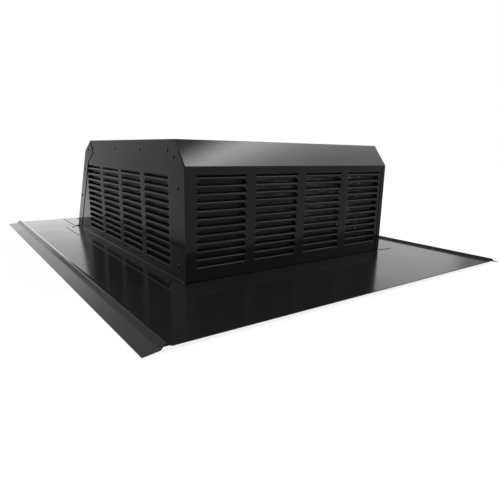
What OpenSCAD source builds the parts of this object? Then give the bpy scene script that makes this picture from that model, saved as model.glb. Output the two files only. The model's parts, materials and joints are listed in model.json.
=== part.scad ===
// Static roof vent: a louvred slant-back hood on a flat flashing pan.
// X runs across the vent, Y from the louvred front to the sloping back, Z up.
// The origin is the middle of the pan, level with the lowest edge of its side flanges.

/* [Sheet] */
// Thickness of every sheet
sheet_t = 0.8; // [0.5:0.1:1.2]
// Bend radius on the outside of a fold
bend_r = 1.8; // [1.4:0.1:3]
// Clearance between two lapped sheets
lap_gap = 0.2; // [0.1:0.05:0.4]

/* [Hood] */
// Width over the two end panels
hood_w = 463; // [455:1:600]
// Height of the upright front above the pan
front_h = 178.5; // [176:0.5:230]
// Height of the flat top above the pan
top_h = 218; // [214:1:260]
// Length of the front chamfer, front to back
chamfer_run = 31.5; // [20:0.5:45]
// Length of the flat top, front to back
top_run = 423.5; // [415:0.5:520]
// Length of the rear chamfer, front to back
rear_run = 42.5; // [30:0.5:60]
// Drop of the rear chamfer
rear_drop = 22; // [15:0.5:30]
// Length of the slanted back, front to back
slant_run = 109; // [60:1:150]

/* [Pan] */
// Width of the pan's flat between the two side ribs
pan_flat_w = 688; // [640:1:900]
// Length of the pan, front to back
pan_len = 928; // [900:1:1100]
// Pan in front of the hood
pan_front = 182.5; // [100:0.5:200]
// Height where the two slopes of a side rib meet
rib_peak = 5.9; // [3:0.1:9]
// Distance from the foot of the rib to its peak
rib_peak_x = 5.9; // [4:0.1:9]
// Distance from the foot of the rib to the start of the flange
rib_w = 12.6; // [11:0.1:16]
// Drop of the flange where it leaves the rib
flange_start_drop = 2; // [1:0.1:2.5]
// Drop of the flange's outer edge below the pan
edge_drop = 4.8; // [3.5:0.1:8]
// Distance from the foot of the rib to the flange's outer edge
edge_x = 33.5; // [24:0.5:45]
// Radius that rounds the rib
rib_r = 3; // [2.2:0.1:3.2]

/* [Throat] */
// Clear width of the throat
throat_w = 305; // [200:1:340]
// Clear length of the throat
throat_len = 305; // [200:1:340]
// Distance from the front of the hood to the throat
throat_front = 150; // [90:1:180]
// Height of the upturned collar round the throat
collar_h = 25; // [10:1:40]

/* [Louvres] */
// Rows of louvres in each louvred panel
louvre_rows = 12; // [4:1:12]
// Columns of louvres in each louvred panel
louvre_columns = 4; // [2:1:4]
// Distance from one row to the next
louvre_pitch = 12.7; // [12:0.1:13]
// Flat web left between two slots
louvre_web = 2.2; // [1.5:0.1:3]
// Size of the cut-off upper corners of a slot
louvre_corner = 5; // [2:0.5:5.5]
// Blade angle from the upright
louvre_angle = 68; // [60:1:72]
// Bend radius where a blade leaves the web
louvre_bend = 1.8; // [1.5:0.1:2.4]
// Straight part of a blade
louvre_blade = 6; // [4:0.1:6.3]
// Length of a louvre in an end panel
side_louvre_len = 98; // [60:1:99]
// Distance from the front of the hood to the first column of an end panel
side_column_start = 54; // [53:0.5:65]
// Distance from the last column of an end panel to the hood's rear knee
side_column_end = 5.5; // [5:0.5:20]
// Height of the lowest slot in an end panel
side_louvre_base = 16; // [14:0.5:17]
// Height of the top slots of an end panel
side_top_slot = 7.5; // [7:0.1:9]
// Length of a louvre in the front panel
front_louvre_len = 92; // [60:1:95]
// Distance from the left corner to the first column of the front panel
front_column_start = 20; // [16:0.5:22]
// Distance from the last column of the front panel to the right corner
front_column_end = 18; // [16:0.5:22]
// Height of the lowest slot in the front panel
front_louvre_base = 21; // [14:0.5:22]
// Height of the top slots of the front panel
front_top_slot = 5.5; // [5.5:0.1:8]
// Least width of a bar between two columns
louvre_bar = 12; // [8:0.5:14]

/* [Flanges] */
// Width of an end panel's base flange on the pan
base_flange_w = 33.5; // [25:0.5:45]
// Length of the end panels' base flanges
base_flange_len = 600; // [500:1:602]
// How far the outer front corner of a base flange stands forward
base_flange_skew = 6; // [0:0.5:12]
// Width of an end panel's return over the front panel
return_w = 10.5; // [8:0.5:13]
// Depth of the cover's side flanges
cover_flange = 35; // [30:0.5:36]
// Height of the lip at the front of the cover
cover_lip = 4; // [2:0.5:6]
// Length of the cover's rear lip down the rear chamfer
rear_lip = 6; // [4:0.5:8]
// Depth of the front panel's side flanges
front_flange = 48; // [44:0.5:49]
// Clearance between the front panel's side flanges and the cover's
flange_clear = 7; // [4:0.5:10]
// Depth of the front panel's foot on the pan
front_foot = 22; // [18:0.5:30]
// Length of the front panel's top flange under the chamfer
front_top_flange = 16; // [10:0.5:24]
// Width of the back panel's side laps along the slant
slant_lap = 27; // [22:0.5:30]
// Width of the back panel's side laps along the rear chamfer
chamfer_lap = 30; // [25:0.5:32]
// How far the back panel's foot stands out past each end panel
foot_overhang = 6; // [3:0.5:10]
// Length of the back panel's edge that is tucked under the cover
back_tuck = 16; // [10:0.5:20]
// Gap in a side flange where two of its lengths meet
mitre_gap = 1.2; // [0.5:0.1:2]

/* [Screens] */
// Thickness of the insect screens
screen_t = 1; // [0.8:0.1:1.4]
// Clear space between a louvred panel and its screen
screen_standoff = 8; // [7.5:0.1:9]
// Margin of a screen's rim round its louvres
screen_margin = 2; // [1:0.1:2.2]
// Width of the screen's flat border
screen_border = 6; // [3:0.5:8]
// Openings across a screen
screen_across = 17; // [6:1:17]
// Openings up a screen
screen_up = 7; // [3:1:7]
// Thread between two openings of a screen
screen_thread = 2; // [1.5:0.1:4]

/* [Rivets] */
// Diameter of a rivet's domed head
rivet_head_d = 6.4; // [5.5:0.1:7]
// Height of a rivet's domed head
rivet_head_h = 1.5; // [1:0.1:2]
// Diameter of a rivet's shank
rivet_d = 3.2; // [2.4:0.1:3.4]
// Diameter of the hole for a rivet
rivet_hole_d = 3.5; // [3.5:0.1:3.8]
// Diameter of a rivet's set tail
rivet_tail_d = 4.8; // [4.2:0.1:5.2]
// Height of a rivet's set tail
rivet_tail_h = 2; // [1.5:0.1:2.4]
// Distance from the top of the hood to the cover's rivets
cover_rivet_drop = 17; // [12:0.5:20]
// Distance from the front of the hood to the cover's first rivet
cover_rivet_start = 56; // [54:0.5:65]
// Distance from the front of the hood to the cover's second rivet
cover_rivet_second = 167; // [140:1:190]
// Distance from the cover's third rivet to the rear fold
cover_rivet_third = 160; // [130:1:180]
// Distance from the cover's last rivet to the rear fold
cover_rivet_end = 15.5; // [14:0.5:25]
// Distance of the chamfer's rivet from the front fold, along the chamfer
chamfer_rivet_down = 18.5; // [16:0.5:22]
// Distance of the chamfer's rivet from the chamfer's edge
chamfer_rivet_inset = 19; // [15:0.5:24]
// Distance of the front rivets from the front of the hood
front_rivet_y = 22.5; // [18:0.5:30]
// Height of the lower front rivet
front_rivet_low = 24; // [20:0.5:40]
// Distance of the upper front rivet from the top of the front panel's side flange
front_rivet_drop = 6.5; // [5:0.5:20]
// Distance of the back panel's rivets from its edge
lap_rivet_inset = 10; // [7:0.5:14]
// Distance from the rear knee to the first rivet of the slanted back
lap_rivet_first = 42; // [30:1:60]
// Distance from the last rivet of the slanted back to the pan
lap_rivet_last = 28; // [20:1:40]
// Rivets along each side of the slanted back
lap_rivet_count = 3; // [2:1:4]
// Rivets along each base flange
base_rivet_count = 5; // [3:1:6]
// Distance from the front of the hood to the first base flange rivet
base_rivet_start = 23; // [15:0.5:40]
// Distance from the last base flange rivet to the end of the flange
base_rivet_end = 7; // [6:0.5:20]
// Rivets across the back panel's foot
foot_rivet_count = 5; // [3:1:7]
// Distance of the back foot's rivets from the rear edge of the pan
foot_rivet_inset = 18; // [10:0.5:30]
// Distance from the end of the hood to the first rivet of a foot
foot_rivet_end = 30; // [20:1:60]
// Rivets across the front panel's foot
front_foot_rivet_count = 3; // [2:1:5]

/* [Hidden] */

paint = [0.05, 0.05, 0.055];
wire = [0.12, 0.12, 0.13];
plated = [0.2, 0.2, 0.21];

$fn = 48;
bend_steps = 4;

half_w = hood_w / 2;
step = sheet_t + lap_gap;
rear_fold_y = chamfer_run + top_run;
rear_knee_y = rear_fold_y + rear_run;
rear_knee_h = top_h - rear_drop;
slant_foot_y = rear_knee_y + slant_run;
pan_back = pan_len - pan_front;
pan_z = edge_drop + sheet_t;
fold_clear = bend_r + sheet_t;
inner_x = -half_w + step;
// Length by which two outlines of one sheet run into each other
weld = 0.4;

// Places a piece that is drawn from the front of the hood and the top of the pan.
module on_pan() {
    translate([0, pan_front - pan_len / 2, pan_z]) children();
}

// Sheet geometry in two dimensions

function unit(v) = v / norm(v);
function left_of(v) = [-v[1], v[0]];
function heading(path, i) = unit(path[i + 1] - path[i]);
function mitre(path, i) =
    i == 0 ? left_of(heading(path, 0)) :
    i == len(path) - 1 ? left_of(heading(path, i - 1)) :
    let (a = left_of(heading(path, i - 1)), b = left_of(heading(path, i)))
    (a + b) / (1 + a * b);

// The path moved sideways, to its left where the distance is positive.
function shifted(path, distance) =
    [for (i = [0 : len(path) - 1]) path[i] + distance * mitre(path, i)];

// The closed outline between a path and the same path moved sideways.
function strip(path, distance) =
    let (far = shifted(path, distance))
    concat(path, [for (i = [len(far) - 1 : -1 : 0]) far[i]]);

// The arc that rounds corner p between its neighbours a and b.
function rounded_corner(a, p, b, r) =
    let (
        u = unit(a - p),
        v = unit(b - p),
        half = acos(u * v) / 2,
        centre = p + unit(u + v) * r / sin(half),
        first = p + u * r / tan(half) - centre,
        last = p + v * r / tan(half) - centre,
        sweep = atan2(cross(first, last), first * last),
        start = atan2(first[1], first[0])
    )
    [for (i = [0 : bend_steps])
        centre + r * [cos(start + sweep * i / bend_steps), sin(start + sweep * i / bend_steps)]];

function rounded(path, r) = concat(
    [path[0]],
    [for (i = [1 : len(path) - 2], q = rounded_corner(path[i - 1], path[i], path[i + 1], r)) q],
    [path[len(path) - 1]]
);

// Frames for the three sets of planes that the sheets lie in

// Draws a Y, Z outline as a solid from x to x + w.
module across(x, w) {
    translate([x, 0, 0]) rotate([90, 0, 90]) linear_extrude(w) children();
}

// Draws an X, Z outline as a solid from y to y + len.
module along(y, length) {
    translate([0, y + length, 0]) rotate([90, 0, 0]) linear_extrude(length) children();
}

// Takes a panel drawn as across, up and inward to its place at the front.
module at_front() {
    translate([0, step, 0]) multmatrix([[1, 0, 0, 0], [0, 0, 1, 0], [0, 1, 0, 0]]) children();
}

// Takes a panel drawn as backward, up and inward to its place at the left end.
module at_left() {
    translate([-half_w, 0, 0]) rotate([90, 0, 90]) children();
}

// Louvres, drawn with X along the slot, Y up and Z inward from the outer face

slot_h = louvre_pitch - louvre_web;
side_span = rear_knee_y - side_column_start - side_column_end;
front_span = hood_w - front_column_start - front_column_end;
side_room = top_h - cover_flange - side_louvre_base - side_top_slot - screen_margin - sheet_t;
front_room = front_h - cover_lip - front_louvre_base - front_top_slot - screen_margin;

function columns_in(span, length) =
    min(louvre_columns, floor((span + louvre_bar) / (length + louvre_bar)));
function rows_in(room) = min(louvre_rows, 1 + floor(room / louvre_pitch));

// A field of louvres: start, base, span, length of a louvre, columns, rows and height of the top slots.
side_field = [side_column_start, side_louvre_base, side_span, side_louvre_len,
    columns_in(side_span, side_louvre_len), rows_in(side_room), side_top_slot];
front_field = [front_column_start, front_louvre_base, front_span, front_louvre_len,
    columns_in(front_span, front_louvre_len), rows_in(front_room), front_top_slot];

function field_h(field) = (field[5] - 1) * louvre_pitch + field[6];
function louvre_place(field, i, j) =
    [field[0] + i * (field[2] - field[3]) / (field[4] - 1), field[1] + j * louvre_pitch];

// Section of a blade: inward distance and height above the bottom of its slot.
blade_end = [
    louvre_bend * (1 - cos(louvre_angle)) + louvre_blade * sin(louvre_angle),
    louvre_bend * sin(louvre_angle) + louvre_blade * cos(louvre_angle)
];
blade_curve = concat(
    [for (i = [0 : bend_steps])
        louvre_bend * [1 - cos(louvre_angle * i / bend_steps), sin(louvre_angle * i / bend_steps)]],
    [blade_end]
);

module slot_outline(length, height) {
    corner = min(louvre_corner, height - blade_end[1] - sheet_t);
    polygon([
        [0, 0],
        [length, 0],
        [length, height - corner],
        [length - corner, height],
        [corner, height],
        [0, height - corner]
    ]);
}

module louvre_slots(field) {
    for (i = [0 : field[4] - 1])
        for (j = [0 : field[5] - 1])
            translate(louvre_place(field, i, j))
                slot_outline(field[3], j == field[5] - 1 ? field[6] : slot_h);
}

module blade_section() {
    polygon([for (p = strip(concat([[0, -weld]], blade_curve), -sheet_t)) [-p[0], p[1]]]);
}

// The closed end of a pocket, between the blade and the outer face of the panel.
module pocket_end_section() {
    polygon([for (p = concat(blade_curve, [[0, blade_end[1]]])) [-p[0], p[1]]]);
}

module louvre_blade(length) {
    rotate([0, 90, 0]) linear_extrude(length) blade_section();
    for (x = [-weld, length + weld - sheet_t])
        translate([x, 0, 0]) rotate([0, 90, 0]) linear_extrude(sheet_t) pocket_end_section();
}

module louvre_blades(field) {
    for (i = [0 : field[4] - 1])
        for (j = [0 : field[5] - 1])
            translate(louvre_place(field, i, j)) louvre_blade(field[3]);
}

// Rivets, drawn along Z with the head's seat at the origin

module rivet_head() {
    dome_r = (pow(rivet_head_d / 2, 2) + pow(rivet_head_h, 2)) / (2 * rivet_head_h);
    intersection() {
        translate([0, 0, rivet_head_h - dome_r]) sphere(dome_r);
        cylinder(d = rivet_head_d, h = rivet_head_h);
    }
}

module rivet(grip) {
    rivet_head();
    translate([0, 0, -grip - rivet_tail_h / 2]) cylinder(d = rivet_d, h = grip + rivet_tail_h);
    translate([0, 0, -grip - rivet_tail_h]) cylinder(d = rivet_tail_d, h = rivet_tail_h);
}

// A rivet set level with the underside, so that the pan lies flat on the roof.
module flush_rivet(grip) {
    rivet_head();
    translate([0, 0, -grip]) cylinder(d = rivet_d, h = grip + rivet_head_h / 2);
}

// Rivets through an end panel, with the head on its outer face or on a lap over it.
module side_rivets(places, out = 0) {
    for (p = places)
        translate([-half_w - out, p[0], p[1]]) rotate([0, -90, 0]) rivet(sheet_t + step);
}

// Rivets through a flange that lies on the pan.
module upright_rivets(places) {
    for (p = places) translate([p[0], p[1], sheet_t]) flush_rivet(2 * sheet_t);
}

module rivet_holes(places) {
    for (p = places) translate(p) circle(d = rivet_hole_d);
}

// Outer line of the hood from the front foot of the chamfer to the foot of the slant
chamfer_foot = [0, front_h];
front_fold = [chamfer_run, top_h];
rear_fold = [rear_fold_y, top_h];
rear_knee = [rear_knee_y, rear_knee_h];
slant_foot = [slant_foot_y, sheet_t];

cover_line = [chamfer_foot, front_fold, rear_fold];
back_line = [rear_fold - [0, step], rear_knee - [0, step], slant_foot];

chamfer_up = unit(front_fold - chamfer_foot);
chamfer_in = -left_of(chamfer_up);
slant_down = unit(back_line[2] - back_line[1]);
slant_in = -left_of(slant_down);
slant_len = norm(back_line[2] - back_line[1]);
knee_in = -left_of(unit(back_line[1] - back_line[0]));

// Top of the front panel's side flanges, below the cover's flange on the chamfer
front_flange_top = (chamfer_foot + chamfer_up * fold_clear + chamfer_in * cover_flange)[1] - flange_clear;

// Rivet places: Y and Z on an end panel, X and Y on the pan
cover_rivets = [
    [cover_rivet_start, top_h - cover_rivet_drop],
    [cover_rivet_second, top_h - cover_rivet_drop],
    [rear_fold_y - cover_rivet_third, top_h - cover_rivet_drop],
    [rear_fold_y - cover_rivet_end, top_h - cover_rivet_drop],
    front_fold - chamfer_up * chamfer_rivet_down + chamfer_in * chamfer_rivet_inset
];
front_rivets = [[front_rivet_y, front_rivet_low], [front_rivet_y, front_flange_top - front_rivet_drop]];

lap_rivet_pitch = (slant_len - lap_rivet_first - lap_rivet_last) / (lap_rivet_count - 1);
back_rivets = concat(
    [for (i = [0 : lap_rivet_count - 1])
        back_line[1] + slant_in * lap_rivet_inset + slant_down * (lap_rivet_first + i * lap_rivet_pitch)],
    [(back_line[0] + back_line[1]) / 2 + knee_in * lap_rivet_inset]
);

base_flange_mid = -half_w - base_flange_w / 2;
base_rivet_pitch = (base_flange_len - base_rivet_start - base_rivet_end) / (base_rivet_count - 1);
base_rivets = [for (i = [0 : base_rivet_count - 1])
    [base_flange_mid, base_rivet_start + i * base_rivet_pitch]];

// Places spread evenly across a foot, from end to end.
function foot_places(count, y) =
    [for (i = [0 : count - 1]) [(i / (count - 1) - 0.5) * (hood_w - 2 * foot_rivet_end), y]];
front_foot_places = foot_places(front_foot_rivet_count, step + bend_r + front_foot / 2);
back_foot_places = foot_places(foot_rivet_count, pan_back - foot_rivet_inset);

// Flat pan with a rib and a drooping flange down each side, and the throat in its middle

rib_lead = 2 * rib_r;
rib_path = rounded([
    [-rib_lead - weld, 0],
    [0, 0],
    [rib_peak_x, rib_peak],
    [rib_w, -flange_start_drop],
    [edge_x, -edge_drop]
], rib_r);

module pan_side_section() {
    translate([pan_flat_w / 2, 0]) polygon(strip(rib_path, -sheet_t));
}

module throat_outline(grow) {
    translate([-throat_w / 2 - grow, throat_front - grow])
        square([throat_w + 2 * grow, throat_len + 2 * grow]);
}

module base_pan() {
    color(paint) on_pan() {
        along(-pan_front, pan_len) {
            pan_side_section();
            mirror([1, 0]) pan_side_section();
        }
        translate([0, 0, -sheet_t]) linear_extrude(sheet_t) difference() {
            translate([rib_lead - pan_flat_w / 2, -pan_front]) square([pan_flat_w - 2 * rib_lead, pan_len]);
            throat_outline(0);
            rivet_holes(base_rivets);
            mirror([1, 0]) rivet_holes(base_rivets);
            rivet_holes(front_foot_places);
            rivet_holes(back_foot_places);
        }
        translate([0, 0, -sheet_t]) linear_extrude(collar_h + sheet_t) difference() {
            throat_outline(sheet_t);
            throat_outline(0);
        }
    }
}

// Front panel: louvred face, inward foot, flange under the chamfer and two side flanges

front_line = rounded([
    [step + front_foot, 0],
    [step, 0],
    [step, front_h - bend_r],
    [step, front_h - bend_r] + chamfer_up * front_top_flange
], bend_r);
front_face_w = hood_w - 2 * (step + fold_clear);

module front_side_flange() {
    corner_line = rounded([
        [weld - front_face_w / 2, step],
        [inner_x, step],
        [inner_x, step + fold_clear + weld]
    ], bend_r);
    translate([0, 0, fold_clear]) linear_extrude(front_flange_top - fold_clear)
        polygon(strip(corner_line, -sheet_t));
    across(inner_x, sheet_t) difference() {
        translate([step + fold_clear, fold_clear])
            square([front_flange - step - fold_clear, front_flange_top - fold_clear]);
        rivet_holes(front_rivets);
    }
}

module front_louvre_panel() {
    color(paint) on_pan() {
        difference() {
            across(-front_face_w / 2, front_face_w) polygon(strip(front_line, -sheet_t));
            translate([-half_w, 0, 0]) at_front()
                translate([0, 0, -sheet_t]) linear_extrude(3 * sheet_t)
                    louvre_slots(front_field);
            for (p = front_foot_places)
                translate([p[0], p[1], -sheet_t]) cylinder(d = rivet_hole_d, h = 3 * sheet_t);
        }
        translate([-half_w, 0, 0]) at_front() louvre_blades(front_field);
        front_side_flange();
        mirror([1, 0, 0]) front_side_flange();
    }
}

// End panels: louvred face, outward base flange and a narrow return over the front

end_line = concat(shifted(cover_line, -lap_gap), shifted(back_line, -step));

module end_face() {
    linear_extrude(sheet_t) difference() {
        polygon([
            [fold_clear, fold_clear],
            [fold_clear, front_h],
            end_line[1],
            [rear_fold_y - back_tuck, end_line[1][1]],
            [rear_fold_y - back_tuck, end_line[3][1]],
            end_line[3],
            end_line[4],
            [end_line[5][0] - fold_clear, fold_clear]
        ]);
        louvre_slots(side_field);
        rivet_holes(cover_rivets);
        rivet_holes(front_rivets);
        rivet_holes(back_rivets);
    }
}

module base_flange() {
    flange_line = rounded([
        [-half_w - 2 * bend_r, sheet_t],
        [-half_w, sheet_t],
        [-half_w, fold_clear + weld]
    ], bend_r - sheet_t);
    along(fold_clear, base_flange_len - fold_clear) polygon(strip(flange_line, -sheet_t));
    linear_extrude(sheet_t) difference() {
        polygon([
            [weld - half_w - 2 * bend_r, 0],
            [-half_w - base_flange_w, -base_flange_skew],
            [-half_w - base_flange_w, base_flange_len],
            [weld - half_w - 2 * bend_r, base_flange_len]
        ]);
        rivet_holes(base_rivets);
    }
}

module front_return() {
    return_line = rounded([[-half_w + return_w, 0], [-half_w, 0], [-half_w, fold_clear + weld]], bend_r);
    translate([0, 0, fold_clear]) linear_extrude(front_h - fold_clear - lap_gap)
        polygon(strip(return_line, -sheet_t));
}

module end_panel() {
    at_left() {
        end_face();
        louvre_blades(side_field);
    }
    base_flange();
    front_return();
}

module left_louvre_panel() {
    color(paint) on_pan() end_panel();
}

module right_louvre_panel() {
    color(paint) on_pan() mirror([1, 0, 0]) end_panel();
}

// Top cover: front lip, chamfer, top, short rear lip and two side flanges inside the end panels

cover_path = rounded([
    chamfer_foot - [0, cover_lip],
    chamfer_foot,
    front_fold,
    rear_fold,
    rear_fold + unit(rear_knee - rear_fold) * rear_lip
], bend_r);
cover_w = hood_w - 2 * step;

module cover_side_flange() {
    across(inner_x, sheet_t) difference() {
        polygon(strip(shifted([
            chamfer_foot + chamfer_up * fold_clear,
            front_fold,
            rear_fold - [back_tuck + lap_gap, 0]
        ], -sheet_t / 2), -cover_flange));
        translate(front_fold) rotate((atan2(chamfer_up[1], chamfer_up[0]) - 180) / 2)
            translate([-mitre_gap / 2, -2 * cover_flange]) square([mitre_gap, 2 * cover_flange - sheet_t]);
        rivet_holes(cover_rivets);
    }
}

module top_cover() {
    color(paint) on_pan() {
        difference() {
            across(inner_x, cover_w) polygon(strip(cover_path, -sheet_t));
            for (side = [-1, 1])
                translate([side * half_w - return_w - lap_gap, -sheet_t, front_h - 2 * cover_lip])
                    cube([2 * (return_w + lap_gap), 2 * sheet_t + step, 2 * cover_lip]);
        }
        cover_side_flange();
        mirror([1, 0, 0]) cover_side_flange();
    }
}

// Back panel: tucked edge, rear chamfer, slant, foot on the pan, and laps over the end panels

back_path = rounded([
    back_line[0] - [back_tuck, 0],
    back_line[0],
    back_line[1],
    back_line[2],
    [pan_back - lap_gap, sheet_t]
], bend_r);
lap_x = -half_w - step;
tuck_notch = back_tuck + step;

module back_lap() {
    across(lap_x, sheet_t) difference() {
        union() {
            polygon(strip(shifted([back_line[0], back_line[1]], -sheet_t / 2), -chamfer_lap));
            polygon(strip(shifted([back_line[1], back_line[2]], -sheet_t / 2), -slant_lap));
        }
        translate([0, -hood_w]) square([2 * slant_foot_y, hood_w + fold_clear]);
        rivet_holes(back_rivets);
    }
}

module back_panel() {
    color(paint) on_pan() {
        difference() {
            across(lap_x - foot_overhang, 2 * (foot_overhang - lap_x)) polygon(strip(back_path, -sheet_t));
            for (side = [-1, 1])
                translate([side * (half_w + step + foot_overhang), 0, fold_clear + top_h / 2])
                    cube([2 * foot_overhang, 2 * slant_foot_y, top_h], center = true);
            for (side = [-1, 1])
                translate([side * half_w - tuck_notch, rear_fold_y - 2 * back_tuck, rear_knee_h + step])
                    cube([2 * tuck_notch, 2 * back_tuck - lap_gap, rear_drop]);
            for (p = back_foot_places)
                translate([p[0], p[1], -sheet_t]) cylinder(d = rivet_hole_d, h = 3 * sheet_t);
        }
        back_lap();
        mirror([1, 0, 0]) back_lap();
    }
}

// Screens behind the louvres: a rim that stands on the panel and a flat mesh

module screen(field) {
    low = [field[0] - screen_margin, field[1] - screen_margin];
    size = [field[2] + 2 * screen_margin, field_h(field) + 2 * screen_margin];
    inside = size - [2, 2] * screen_border;
    cell = [
        (inside[0] + screen_thread) / screen_across,
        (inside[1] + screen_thread) / screen_up
    ];
    rim_h = screen_standoff - step + screen_t;
    translate([low[0], low[1], step]) {
        linear_extrude(rim_h) difference() {
            square(size);
            translate([screen_t, screen_t]) square(size - [2, 2] * screen_t);
        }
        translate([0, 0, rim_h - screen_t]) linear_extrude(screen_t) difference() {
            square(size);
            for (i = [0 : screen_across - 1])
                for (j = [0 : screen_up - 1])
                    translate([screen_border + i * cell[0], screen_border + j * cell[1]])
                        square(cell - [1, 1] * screen_thread);
        }
    }
}

module front_screen() {
    color(wire) on_pan() translate([-half_w, 0, 0]) at_front() screen(front_field);
}

module left_screen() {
    color(wire) on_pan() at_left() screen(side_field);
}

module right_screen() {
    color(wire) on_pan() mirror([1, 0, 0]) at_left() screen(side_field);
}

// Rivet groups

module left_cover_rivets() {
    color(plated) on_pan() side_rivets(cover_rivets);
}

module right_cover_rivets() {
    color(plated) on_pan() mirror([1, 0, 0]) side_rivets(cover_rivets);
}

module left_front_rivets() {
    color(plated) on_pan() side_rivets(front_rivets);
}

module right_front_rivets() {
    color(plated) on_pan() mirror([1, 0, 0]) side_rivets(front_rivets);
}

module left_back_rivets() {
    color(plated) on_pan() side_rivets(back_rivets, step);
}

module right_back_rivets() {
    color(plated) on_pan() mirror([1, 0, 0]) side_rivets(back_rivets, step);
}

module left_base_rivets() {
    color(plated) on_pan() upright_rivets(base_rivets);
}

module right_base_rivets() {
    color(plated) on_pan() mirror([1, 0, 0]) upright_rivets(base_rivets);
}

module front_foot_rivets() {
    color(plated) on_pan() upright_rivets(front_foot_places);
}

module back_foot_rivets() {
    color(plated) on_pan() upright_rivets(back_foot_places);
}

base_pan();
front_louvre_panel();
left_louvre_panel();
right_louvre_panel();
top_cover();
back_panel();
front_screen();
left_screen();
right_screen();
left_cover_rivets();
right_cover_rivets();
left_front_rivets();
right_front_rivets();
left_back_rivets();
right_back_rivets();
left_base_rivets();
right_base_rivets();
front_foot_rivets();
back_foot_rivets();
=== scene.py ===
"""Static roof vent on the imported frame: gloss black paint, woven screens, floor, light and camera."""

import json

import bpy
import bmesh
from mathutils import Matrix, Vector


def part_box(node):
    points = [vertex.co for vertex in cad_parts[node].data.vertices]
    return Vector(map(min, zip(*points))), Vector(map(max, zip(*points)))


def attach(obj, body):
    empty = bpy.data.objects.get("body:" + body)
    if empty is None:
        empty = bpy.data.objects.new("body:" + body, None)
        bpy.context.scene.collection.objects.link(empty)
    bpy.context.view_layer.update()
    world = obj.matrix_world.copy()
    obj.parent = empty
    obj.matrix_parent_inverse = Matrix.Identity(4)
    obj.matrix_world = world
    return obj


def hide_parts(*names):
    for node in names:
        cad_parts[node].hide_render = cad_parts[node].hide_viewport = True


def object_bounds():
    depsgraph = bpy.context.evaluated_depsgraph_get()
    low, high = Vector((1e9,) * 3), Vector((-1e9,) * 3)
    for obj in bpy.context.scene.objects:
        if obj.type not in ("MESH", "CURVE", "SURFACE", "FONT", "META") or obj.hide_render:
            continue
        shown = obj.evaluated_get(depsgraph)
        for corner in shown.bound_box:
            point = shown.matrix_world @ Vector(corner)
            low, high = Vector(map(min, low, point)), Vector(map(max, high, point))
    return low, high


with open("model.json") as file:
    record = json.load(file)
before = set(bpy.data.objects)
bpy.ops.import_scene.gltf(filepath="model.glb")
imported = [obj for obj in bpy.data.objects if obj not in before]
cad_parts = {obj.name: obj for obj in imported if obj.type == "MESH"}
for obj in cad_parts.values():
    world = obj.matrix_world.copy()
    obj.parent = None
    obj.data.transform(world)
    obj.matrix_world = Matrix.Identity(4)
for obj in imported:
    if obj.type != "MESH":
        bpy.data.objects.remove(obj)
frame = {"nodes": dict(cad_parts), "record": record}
CAD_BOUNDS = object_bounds()
NODES = frame["nodes"]

# The hood's front left corner on the pan. The left end panel's base flange lies outside it, and the front
# panel lies just behind it.
BASE_FLANGE_WIDTH = 0.0335
FRONT_PANEL_DEPTH = 0.001
HOOD_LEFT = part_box("left_louvre_panel")[0].x + BASE_FLANGE_WIDTH
HOOD_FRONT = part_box("front_louvre_panel")[0].y - FRONT_PANEL_DEPTH
PAN_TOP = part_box("back_panel")[0].z

# The camera as fitted to the photograph: its place from that corner, and its directions.
CAMERA_FROM_CORNER = Vector((-0.2969, -0.5738, 0.2037))
CAMERA_RIGHT = Vector((0.81104, -0.58465, 0.02010))
CAMERA_DOWN = Vector((-0.11546, -0.19366, -0.97425))
PHOTO_SIDE = 500
FOCAL_PIXELS = 432.78
SENSOR_WIDTH = 36.0
NEAREST_SEEN = 0.01
FARTHEST_SEEN = 50

# The insect screens: wire size, distance between wires, border and sheet of the solids that they replace.
WIRE = 0.0006
WIRE_PITCH = 0.0012
SCREEN_BORDER = 0.006
SCREEN_SHEET = 0.001

# The paint where it is clean and where dust lies, a lighter grey painted along edges as a highlight, and
# how far the edges round off and that painted highlight reaches.
PAINT_CLEAN = (0.005, 0.005, 0.0054, 1)
PAINT_DUSTY = (0.019, 0.019, 0.0196, 1)
# A lighter grey painted along the edges as a highlight.
PAINT_EDGE_HIGHLIGHT = (0.06, 0.06, 0.062, 1)
EDGE_ROUND_AND_HIGHLIGHT_WIDTH = 0.0008
EDGE_ROUND_AND_HIGHLIGHT_SAMPLES = 8
PAINT_ROUGHNESS = (0.06, 0.12)
DUST_ROUGHNESS = 0.09
PAINT_IOR = 1.5
# How much dust lies on level faces, and how much it is mottled everywhere.
DUST_LEVEL = 0.8
DUST_MOTTLE = 0.3
# Cosines of the angles over which a face counts as level, and a normal as turned at an edge, where the
# painted edge highlight shows.
LEVEL_FACE = (0.7, 0.98)
TURNED_NORMAL = (0.86, 0.97)

# Noise scales on the paint, from slow to fine, and the height and strength of its two reliefs.
CANNING_SCALE = 5
DUST_SCALE = 9
SHEEN_SCALE = 14
PEEL_SCALE = 420
CANNING_RELIEF = (0.004, 0.25)
PEEL_RELIEF = (0.0002, 0.05)

# The screens' wire and the rivets: tones, the scale of their noise, roughness and its scale.
WIRE_TONES = (0.008, 0.02)
WIRE_TONE_SCALE = 60
WIRE_ROUGHNESS = (0.35, 0.55)
WIRE_ROUGHNESS_SCALE = 90
RIVET_TONES = (0.004, 0.008)
RIVET_TONE_SCALE = 200
RIVET_ROUGHNESS = (0.1, 0.18)
RIVET_ROUGHNESS_SCALE = 300
RIVET_SPECULAR = 0.3

# The floor: reach, tones, and its own light to the camera and to gloss. Inside the pan's edges, from the
# inset on, it gives no light of its own.
FLOOR_REACH = 12
FLOOR_TONE = 0.6
FLOOR_TONE_SEEN = 0.3
FLOOR_ROUGHNESS = 0.9
FLOOR_LIGHT_SEEN = 0.85
FLOOR_LIGHT_MIRRORED = 0.6
FLOOR_INSET = 0.012
FLOOR_MIDDLE_FROM_FRONT = 0.4

# Middle of the white backdrop, seen from above, and of its brightest strip.
BACKDROP = (0.407, 0.914, 0)
STRIP = (0.174, 0.985, 0)
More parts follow.
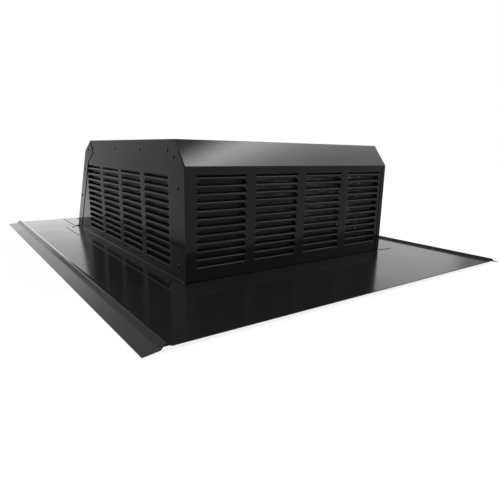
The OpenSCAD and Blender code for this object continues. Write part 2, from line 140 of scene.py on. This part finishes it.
# Middle of the soft lamp over the front, and the direction square to its bright edge.
LAMP = (0.632, -0.256, 0.731)
LAMP_EDGE = (-0.359, 0.833, 0.420)

# Light of each area, where 1 is white. The strip's and the edge's light come on top of what is under them.
BACKDROP_LIGHT = 1.02
STRIP_LIGHT = 0.94
LAMP_LIGHT = 0.66
LAMP_EDGE_LIGHT = 5.7
CEILING_LIGHT = 0.4
ROOM_LIGHT = 0.38

# Sines of the elevations between which the strip and the backdrop fade out, and the ceiling fades in.
STRIP_TOP = (0.15, 0.174)
BACKDROP_TOP = (0.292, 0.438)
CEILING_START = (0.9, 0.97)

# Cosines of the angles from their middles, from dark to fully lit.
BACKDROP_SPREAD = (0.765, 0.795)
STRIP_SPREAD = (0.95, 0.975)
LAMP_SPREAD = (0.86, 0.95)

# Sines of the angles past the lamp's edge: where its brightest line is, how fast that fades on the lamp's
# side, and where the light ends on the other.
EDGE_LINE = -0.0095
EDGE_FADE = 0.046
EDGE_END = (-0.01, 0.045)


class Steps:
    """A node tree, with one short call for each kind of step."""

    def __init__(self, tree):
        self.nodes = tree.nodes
        self.links = tree.links

    def new(self, kind):
        """Adds a node."""
        return self.nodes.new("ShaderNode" + kind)

    def feed(self, socket, value):
        """Links a socket to another one, or sets numbers on it."""
        if isinstance(value, bpy.types.NodeSocket):
            self.links.new(value, socket)
        else:
            socket.default_value = value

    def math(self, operation, first, second=0):
        """One arithmetic step on sockets or numbers."""
        node = self.new("Math")
        node.operation = operation
        self.feed(node.inputs[0], first)
        self.feed(node.inputs[1], second)
        return node.outputs["Value"]

    def vector(self, operation, first, second=(0, 0, 0)):
        """One vector step on sockets or numbers."""
        node = self.new("VectorMath")
        node.operation = operation
        self.feed(node.inputs[0], first)
        self.feed(node.inputs[1], second)
        return node.outputs["Value" if operation == "DOT_PRODUCT" else "Vector"]

    def along(self, axis, vector):
        """A vector's component along an axis."""
        node = self.new("SeparateXYZ")
        self.feed(node.inputs["Vector"], vector)
        return node.outputs[axis]

    def ramp(self, source, span, result, smooth=False):
        """Maps the span of a value onto a result, both given by their two ends."""
        node = self.new("MapRange")
        node.interpolation_type = "SMOOTHSTEP" if smooth else "LINEAR"
        for name, number in zip(("From Min", "From Max", "To Min", "To Max"), (*span, *result)):
            node.inputs[name].default_value = number
        self.feed(node.inputs["Value"], source)
        return node.outputs["Result"]

    def noise(self, place, scale, detail, result=(0, 1)):
        """A noise over the object's own coordinates, mapped onto a result."""
        node = self.new("TexNoise")
        node.inputs["Scale"].default_value = scale
        node.inputs["Detail"].default_value = detail
        self.feed(node.inputs["Vector"], place)
        return self.ramp(node.outputs["Fac"], (0, 1), result)

    def mix(self, kind, share, low, high):
        """Mixes two colours or two numbers by a share; kind is RGBA or FLOAT."""
        node = self.new("Mix")
        node.data_type = kind
        self.feed(node.inputs["Factor"], share)
        self.feed(node.inputs["A"], low)
        self.feed(node.inputs["B"], high)
        return node.outputs["Result"]

    def bump(self, shape, relief, under):
        """A relief of a height and a strength on top of the normal under it."""
        node = self.new("Bump")
        node.inputs["Distance"].default_value = relief[0]
        node.inputs["Strength"].default_value = relief[1]
        self.feed(node.inputs["Height"], shape)
        self.feed(node.inputs["Normal"], under)
        return node.outputs["Normal"]


def link(obj):
    """Adds an object to the scene and returns it."""
    bpy.context.scene.collection.objects.link(obj)
    return obj


def mesh_object(name, bm):
    """Turns a bmesh into a linked object."""
    mesh = bpy.data.meshes.new(name)
    bm.to_mesh(mesh)
    bm.free()
    return link(bpy.data.objects.new(name, mesh))


def grey(level):
    """A grey colour."""
    return (level, level, level, 1)


def new_material(name):
    """A node material, with its steps and its shader's inputs at hand."""
    material = bpy.data.materials.new(name)
    material.use_nodes = True
    steps = Steps(material.node_tree)
    return material, steps, steps.nodes["Principled BSDF"].inputs


def paint_material():
    """Gloss black paint on thin sheet: orange peel, slow oil canning, a dusty bloom and a painted
    highlight along rounded edges.
    """
    material, steps, shader = new_material("black_paint")
    place = steps.new("TexCoord").outputs["Object"]
    flat = steps.new("NewGeometry").outputs["True Normal"]
    upward = steps.ramp(steps.along("Z", flat), LEVEL_FACE, (0, DUST_LEVEL), smooth=True)
    dust = steps.math("ADD", steps.noise(place, DUST_SCALE, 4, (0, DUST_MOTTLE)), upward)
    base = steps.mix("RGBA", dust, PAINT_CLEAN, PAINT_DUSTY)
    edge = steps.new("Bevel")
    edge.samples = EDGE_ROUND_AND_HIGHLIGHT_SAMPLES
    edge.inputs["Radius"].default_value = EDGE_ROUND_AND_HIGHLIGHT_WIDTH
    turned = steps.vector("DOT_PRODUCT", flat, edge.outputs["Normal"])
    # Where the rounded edge's normal turns away from the face, the colour goes to a lighter grey: a
    # painted highlight along the edges.
    painted_edge_highlight = steps.ramp(turned, TURNED_NORMAL, (1, 0), smooth=True)
    steps.feed(shader["Base Color"], steps.mix("RGBA", painted_edge_highlight, base, PAINT_EDGE_HIGHLIGHT))
    sheen = steps.noise(place, SHEEN_SCALE, 3, PAINT_ROUGHNESS)
    bloom = steps.math("MULTIPLY", upward, DUST_ROUGHNESS)
    steps.feed(shader["Roughness"], steps.math("ADD", sheen, bloom))
    shader["IOR"].default_value = PAINT_IOR
    peel = steps.bump(steps.noise(place, PEEL_SCALE, 2), PEEL_RELIEF, edge.outputs["Normal"])
    canning = steps.bump(steps.noise(place, CANNING_SCALE, 1), CANNING_RELIEF, peel)
    steps.feed(shader["Normal"], canning)
    return material


def wire_material():
    """Black coated wire."""
    material, steps, shader = new_material("screen_wire")
    place = steps.new("TexCoord").outputs["Object"]
    tone = steps.noise(place, WIRE_TONE_SCALE, 3)
    steps.feed(shader["Base Color"], steps.mix("RGBA", tone, *map(grey, WIRE_TONES)))
    steps.feed(shader["Roughness"], steps.noise(place, WIRE_ROUGHNESS_SCALE, 2, WIRE_ROUGHNESS))
    return material


def rivet_material():
    """Rivet heads in black paint, a little duller than the sheet."""
    material, steps, shader = new_material("rivet")
    place = steps.new("TexCoord").outputs["Object"]
    tone = steps.noise(place, RIVET_TONE_SCALE, 3)
    steps.feed(shader["Base Color"], steps.mix("RGBA", tone, *map(grey, RIVET_TONES)))
    steps.feed(shader["Roughness"], steps.noise(place, RIVET_ROUGHNESS_SCALE, 2, RIVET_ROUGHNESS))
    shader["Specular IOR Level"].default_value = RIVET_SPECULAR
    return material


def dress(materials):
    """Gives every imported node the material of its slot."""
    for part in frame["record"]["subparts"]:
        obj = NODES[part["node"]]
        obj.data.materials.clear()
        obj.data.materials.append(materials[part["material_slot"]])


def add_block(bm, low, high):
    """Adds a box between two corners."""
    size = high - low
    spot = Matrix.Translation((low + high) / 2) @ Matrix.Diagonal((*size, 1))
    bmesh.ops.create_cube(bm, size=1, matrix=spot)


def wire_bands(first, last):
    """The spans of the evenly spaced wires between two ends."""
    count = int((last - first) / WIRE_PITCH)
    start = (first + last) / 2 - count * WIRE_PITCH / 2
    centres = [start + i * WIRE_PITCH for i in range(count + 1)]
    return [(centre - WIRE / 2, centre + WIRE / 2) for centre in centres]


def woven_screen(node, thin, inside, material):
    """Replaces a packed screen by crossed wires in a frame.

    thin is the axis of its depth, and inside is 1 or -1, the way to the side that its mesh is on.
    """
    low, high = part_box(node)
    run = 1 - thin
    bm = bmesh.new()

    def block(across, up, deep):
        """Adds a box from its spans across the screen, up it and in depth."""
        first = Vector((0, 0, 0))
        last = Vector((0, 0, 0))
        for axis, span in zip((run, 2, thin), (across, up, deep)):
            first[axis] = min(span)
            last[axis] = max(span)
        add_block(bm, first, last)

    left, right = low[run], high[run]
    bottom, top = low.z, high.z
    mesh_face = high[thin] if inside > 0 else low[thin]
    mesh_back = mesh_face - inside * SCREEN_SHEET
    rim = (SCREEN_SHEET, (low[thin], high[thin]))
    border = (SCREEN_BORDER, (mesh_face, mesh_back))
    for wall, deep in (rim, border):
        block((left, left + wall), (bottom, top), deep)
        block((right - wall, right), (bottom, top), deep)
        block((left, right), (bottom, bottom + wall), deep)
        block((left, right), (top - wall, top), deep)
    edge = SCREEN_BORDER / 2
    middle = (mesh_face + mesh_back) / 2
    for band in wire_bands(left + edge, right - edge):
        block(band, (bottom + edge, top - edge), (middle, middle + inside * WIRE / 2))
    for band in wire_bands(bottom + edge, top - edge):
        block((left + edge, right - edge), band, (middle, middle - inside * WIRE / 2))
    piece = mesh_object(node + "_woven", bm)
    piece.data.materials.append(material)
    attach(piece, "root")
    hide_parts(node)


def add_camera():
    """The photograph's camera."""
    data = bpy.data.cameras.new("camera")
    data.sensor_width = SENSOR_WIDTH
    data.lens = FOCAL_PIXELS / PHOTO_SIDE * SENSOR_WIDTH
    data.clip_start = NEAREST_SEEN
    data.clip_end = FARTHEST_SEEN
    camera = link(bpy.data.objects.new("camera", data))
    right = CAMERA_RIGHT.normalized()
    up = -(CAMERA_DOWN - right * CAMERA_DOWN.dot(right)).normalized()
    turn = Matrix((right, up, right.cross(up))).transposed().to_4x4()
    corner = Vector((HOOD_LEFT, HOOD_FRONT, PAN_TOP))
    camera.matrix_world = Matrix.Translation(corner + CAMERA_FROM_CORNER) @ turn
    bpy.context.scene.camera = camera


def level_share(steps, direction, middle, spread):
    """One where a direction, seen from above, is close to the middle one, nought away from it."""
    level = steps.vector("NORMALIZE", steps.vector("MULTIPLY", direction, (1, 1, 0)))
    return steps.ramp(steps.vector("DOT_PRODUCT", level, middle), spread, (0, 1), smooth=True)


def outside_share(steps, place):
    """Nought under the pan, one outside its edges."""
    apart = steps.vector("ABSOLUTE", place)
    edge = CAD_BOUNDS[1]
    beside = steps.math("GREATER_THAN", steps.along("X", apart), edge[0] - FLOOR_INSET)
    beyond = steps.math("GREATER_THAN", steps.along("Y", apart), edge[1] - FLOOR_INSET)
    return steps.math("MAXIMUM", beside, beyond)


def add_floor():
    """A wide pale floor: white to the camera under a faint shadow, dimmer where gloss sees it."""
    bm = bmesh.new()
    bmesh.ops.create_grid(bm, x_segments=1, y_segments=1, size=FLOOR_REACH)
    floor = mesh_object("floor", bm)
    material, steps, shader = new_material("floor")
    rays = steps.new("LightPath").outputs
    seen = rays["Is Camera Ray"]
    place = steps.new("TexCoord").outputs["Object"]
    steps.feed(shader["Base Color"], steps.mix("RGBA", seen, grey(FLOOR_TONE), grey(FLOOR_TONE_SEEN)))
    shader["Roughness"].default_value = FLOOR_ROUGHNESS
    shader["Specular IOR Level"].default_value = 0
    middle = (HOOD_LEFT, HOOD_FRONT + FLOOR_MIDDLE_FROM_FRONT, 0)
    away = steps.vector("SUBTRACT", place, middle)
    share = level_share(steps, away, BACKDROP, BACKDROP_SPREAD)
    mirrored = steps.math("MULTIPLY", rays["Is Glossy Ray"], share)
    mirrored = steps.math("MULTIPLY", mirrored, FLOOR_LIGHT_MIRRORED)
    light = steps.math("ADD", steps.math("MULTIPLY", seen, FLOOR_LIGHT_SEEN), mirrored)
    shader["Emission Color"].default_value = grey(1)
    steps.feed(shader["Emission Strength"], steps.math("MULTIPLY", light, outside_share(steps, place)))
    floor.data.materials.append(material)


def backdrop_light(steps, direction, height):
    """Light of the white backdrop, with its brighter strip low down."""
    light = steps.ramp(height, STRIP_TOP, (STRIP_LIGHT, 0), smooth=True)
    light = steps.math("MULTIPLY", light, level_share(steps, direction, STRIP, STRIP_SPREAD))
    light = steps.math("ADD", light, BACKDROP_LIGHT)
    light = steps.math("MULTIPLY", light, steps.ramp(height, BACKDROP_TOP, (1, 0), smooth=True))
    return steps.math("MULTIPLY", light, level_share(steps, direction, BACKDROP, BACKDROP_SPREAD))


def lamp_light(steps, direction):
    """Light of the soft lamp, brightest in a line along its far edge."""
    across = steps.vector("DOT_PRODUCT", direction, LAMP_EDGE)
    before = steps.math("MINIMUM", steps.math("SUBTRACT", across, EDGE_LINE), 0)
    fade = steps.math("EXPONENT", steps.math("DIVIDE", before, EDGE_FADE))
    light = steps.math("ADD", steps.math("MULTIPLY", fade, LAMP_EDGE_LIGHT), LAMP_LIGHT)
    light = steps.math("MULTIPLY", light, steps.ramp(across, EDGE_END, (1, 0), smooth=True))
    toward = steps.vector("DOT_PRODUCT", direction, LAMP)
    return steps.math("MULTIPLY", light, steps.ramp(toward, LAMP_SPREAD, (0, 1), smooth=True))


def add_world():
    """A studio, white to the camera: a backdrop, a lamp over the front, a dim ceiling and dim walls."""
    world = bpy.data.worlds.new("studio")
    bpy.context.scene.world = world
    world.use_nodes = True
    steps = Steps(world.node_tree)
    direction = steps.new("TexCoord").outputs["Generated"]
    height = steps.along("Z", direction)
    walls = steps.math("MAXIMUM", backdrop_light(steps, direction, height), ROOM_LIGHT)
    ceiling = steps.ramp(height, CEILING_START, (0, CEILING_LIGHT), smooth=True)
    light = steps.math("ADD", walls, steps.math("ADD", lamp_light(steps, direction), ceiling))
    seen = steps.new("LightPath").outputs["Is Camera Ray"]
    background = steps.nodes["Background"].inputs
    background["Color"].default_value = grey(1)
    steps.feed(background["Strength"], steps.mix("FLOAT", seen, light, 1))


wire = wire_material()
dress({"black_paint": paint_material(), "screen_wire": wire, "rivet": rivet_material()})
woven_screen("front_screen", 1, 1, wire)
woven_screen("left_screen", 0, 1, wire)
woven_screen("right_screen", 0, -1, wire)
add_floor()
add_world()
add_camera()

bpy.context.scene.view_settings.view_transform = "Standard"
